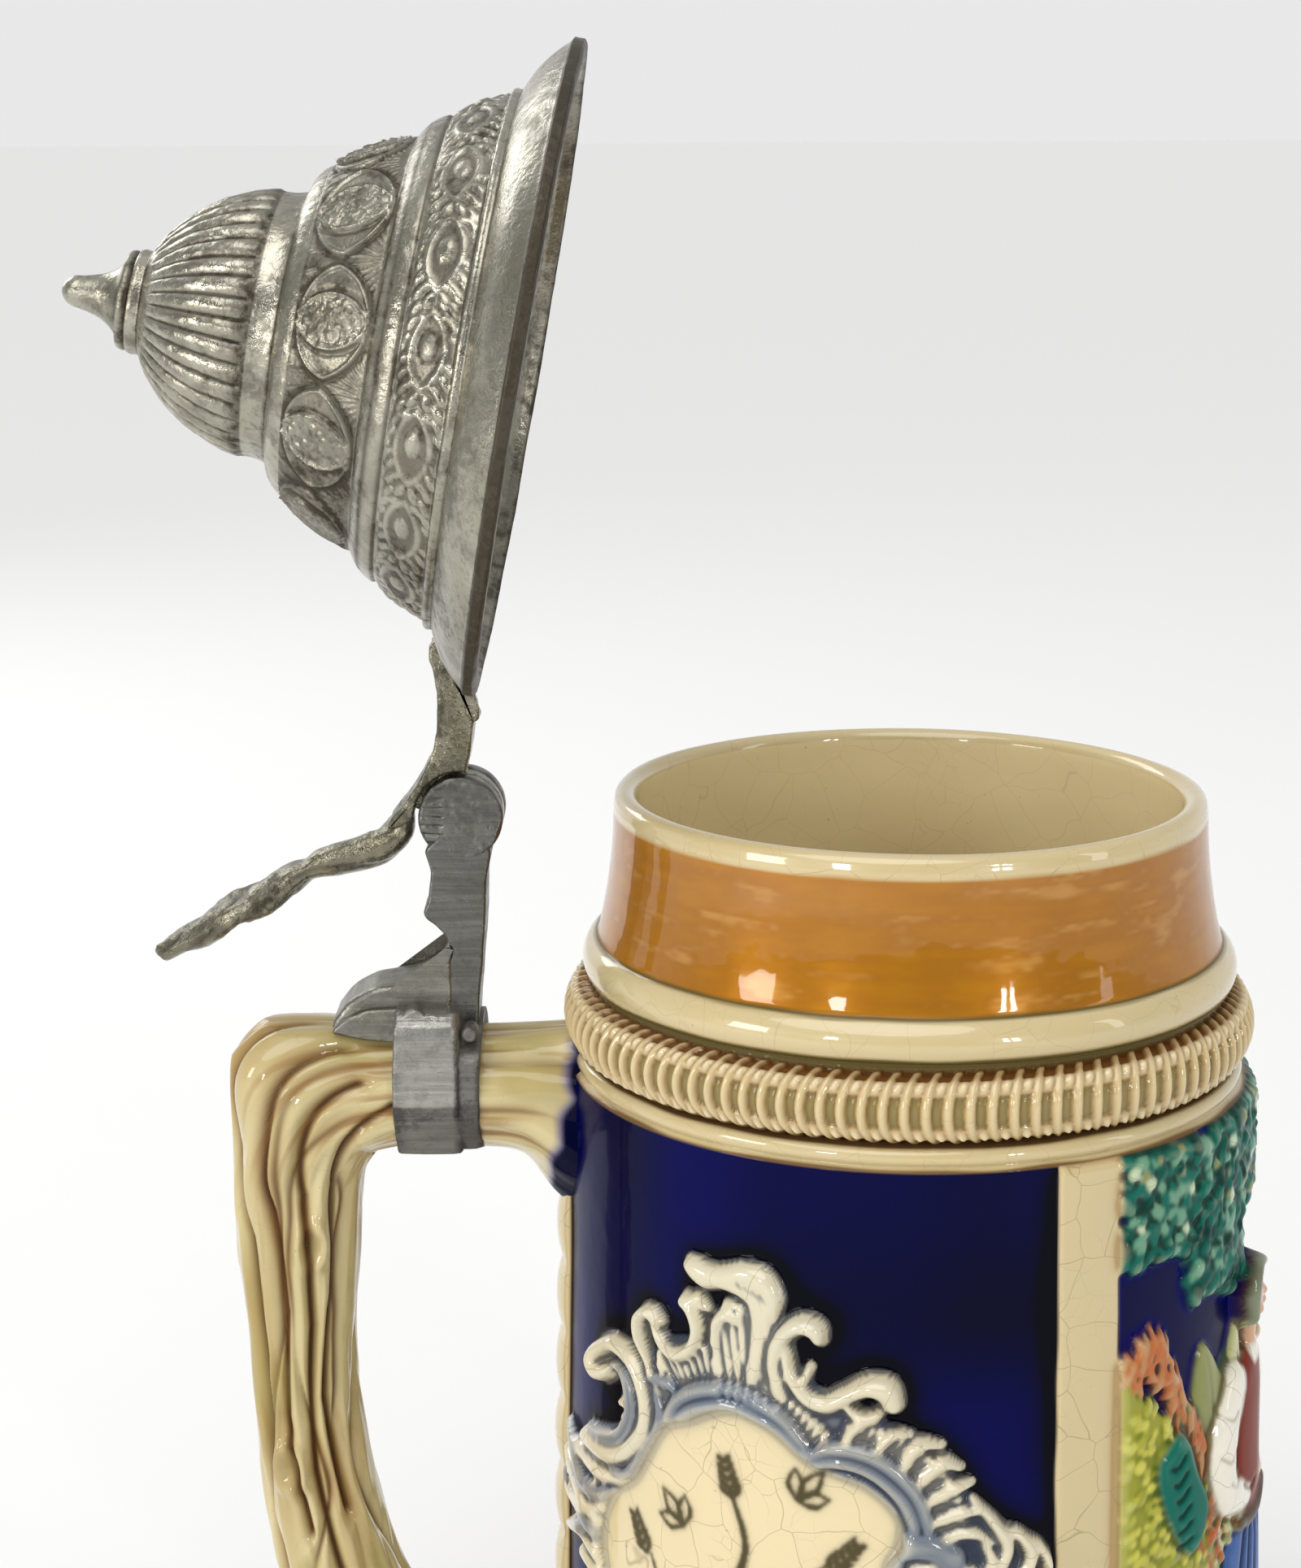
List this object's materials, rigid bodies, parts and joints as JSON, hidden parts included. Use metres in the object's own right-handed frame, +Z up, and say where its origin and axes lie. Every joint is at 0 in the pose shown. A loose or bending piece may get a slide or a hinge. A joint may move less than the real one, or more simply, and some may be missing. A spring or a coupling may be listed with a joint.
{
  "type": "beer stein",
  "caption": "Half-litre relief earthenware beer stein with branch handle and hinged pewter dome lid, shown open",
  "frame": {"origin": "centre of the flat base, on the mug's axis", "axes": "+Z up along the mug's axis, -X towards the handle, Y along the hinge axis"},
  "size_m": [0.1498, 0.0908, 0.2507],
  "materials": {
    "mug_glaze": "glossy majolica glazes over relief: amber lustre neck, ivory mouldings, cobalt side panels, painted scene",
    "handle_glaze": "glossy ivory glaze with brown wash in the bark grooves",
    "pewter_lid": "cast pewter, oxidised warm grey with worn bright edges",
    "pewter_mount": "filed pewter, darker blue-grey",
    "hinge_pin": "drawn steel wire, hidden"
  },
  "bodies": {
    "mug": {"mug_body": "mug_glaze", "handle": "handle_glaze", "handle_strap": "pewter_mount", "strap_tang": "pewter_mount", "hinge_shank": "pewter_mount", "hinge_pin": "hinge_pin", "pin_plug_near": "pewter_mount", "pin_plug_far": "pewter_mount"},
    "lid": {"lid_shell": "pewter_lid", "lid_arm": "pewter_lid", "thumblift": "pewter_lid", "finial": "pewter_lid"}
  },
  "joints": [
    {"name": "lid_hinge", "type": "hinge", "parent": "mug", "child": "lid", "pos_m": [-0.0564, 0, 0.1549], "axis": [0, 1, 0], "range_deg": [0, 79.7]}
  ]
}
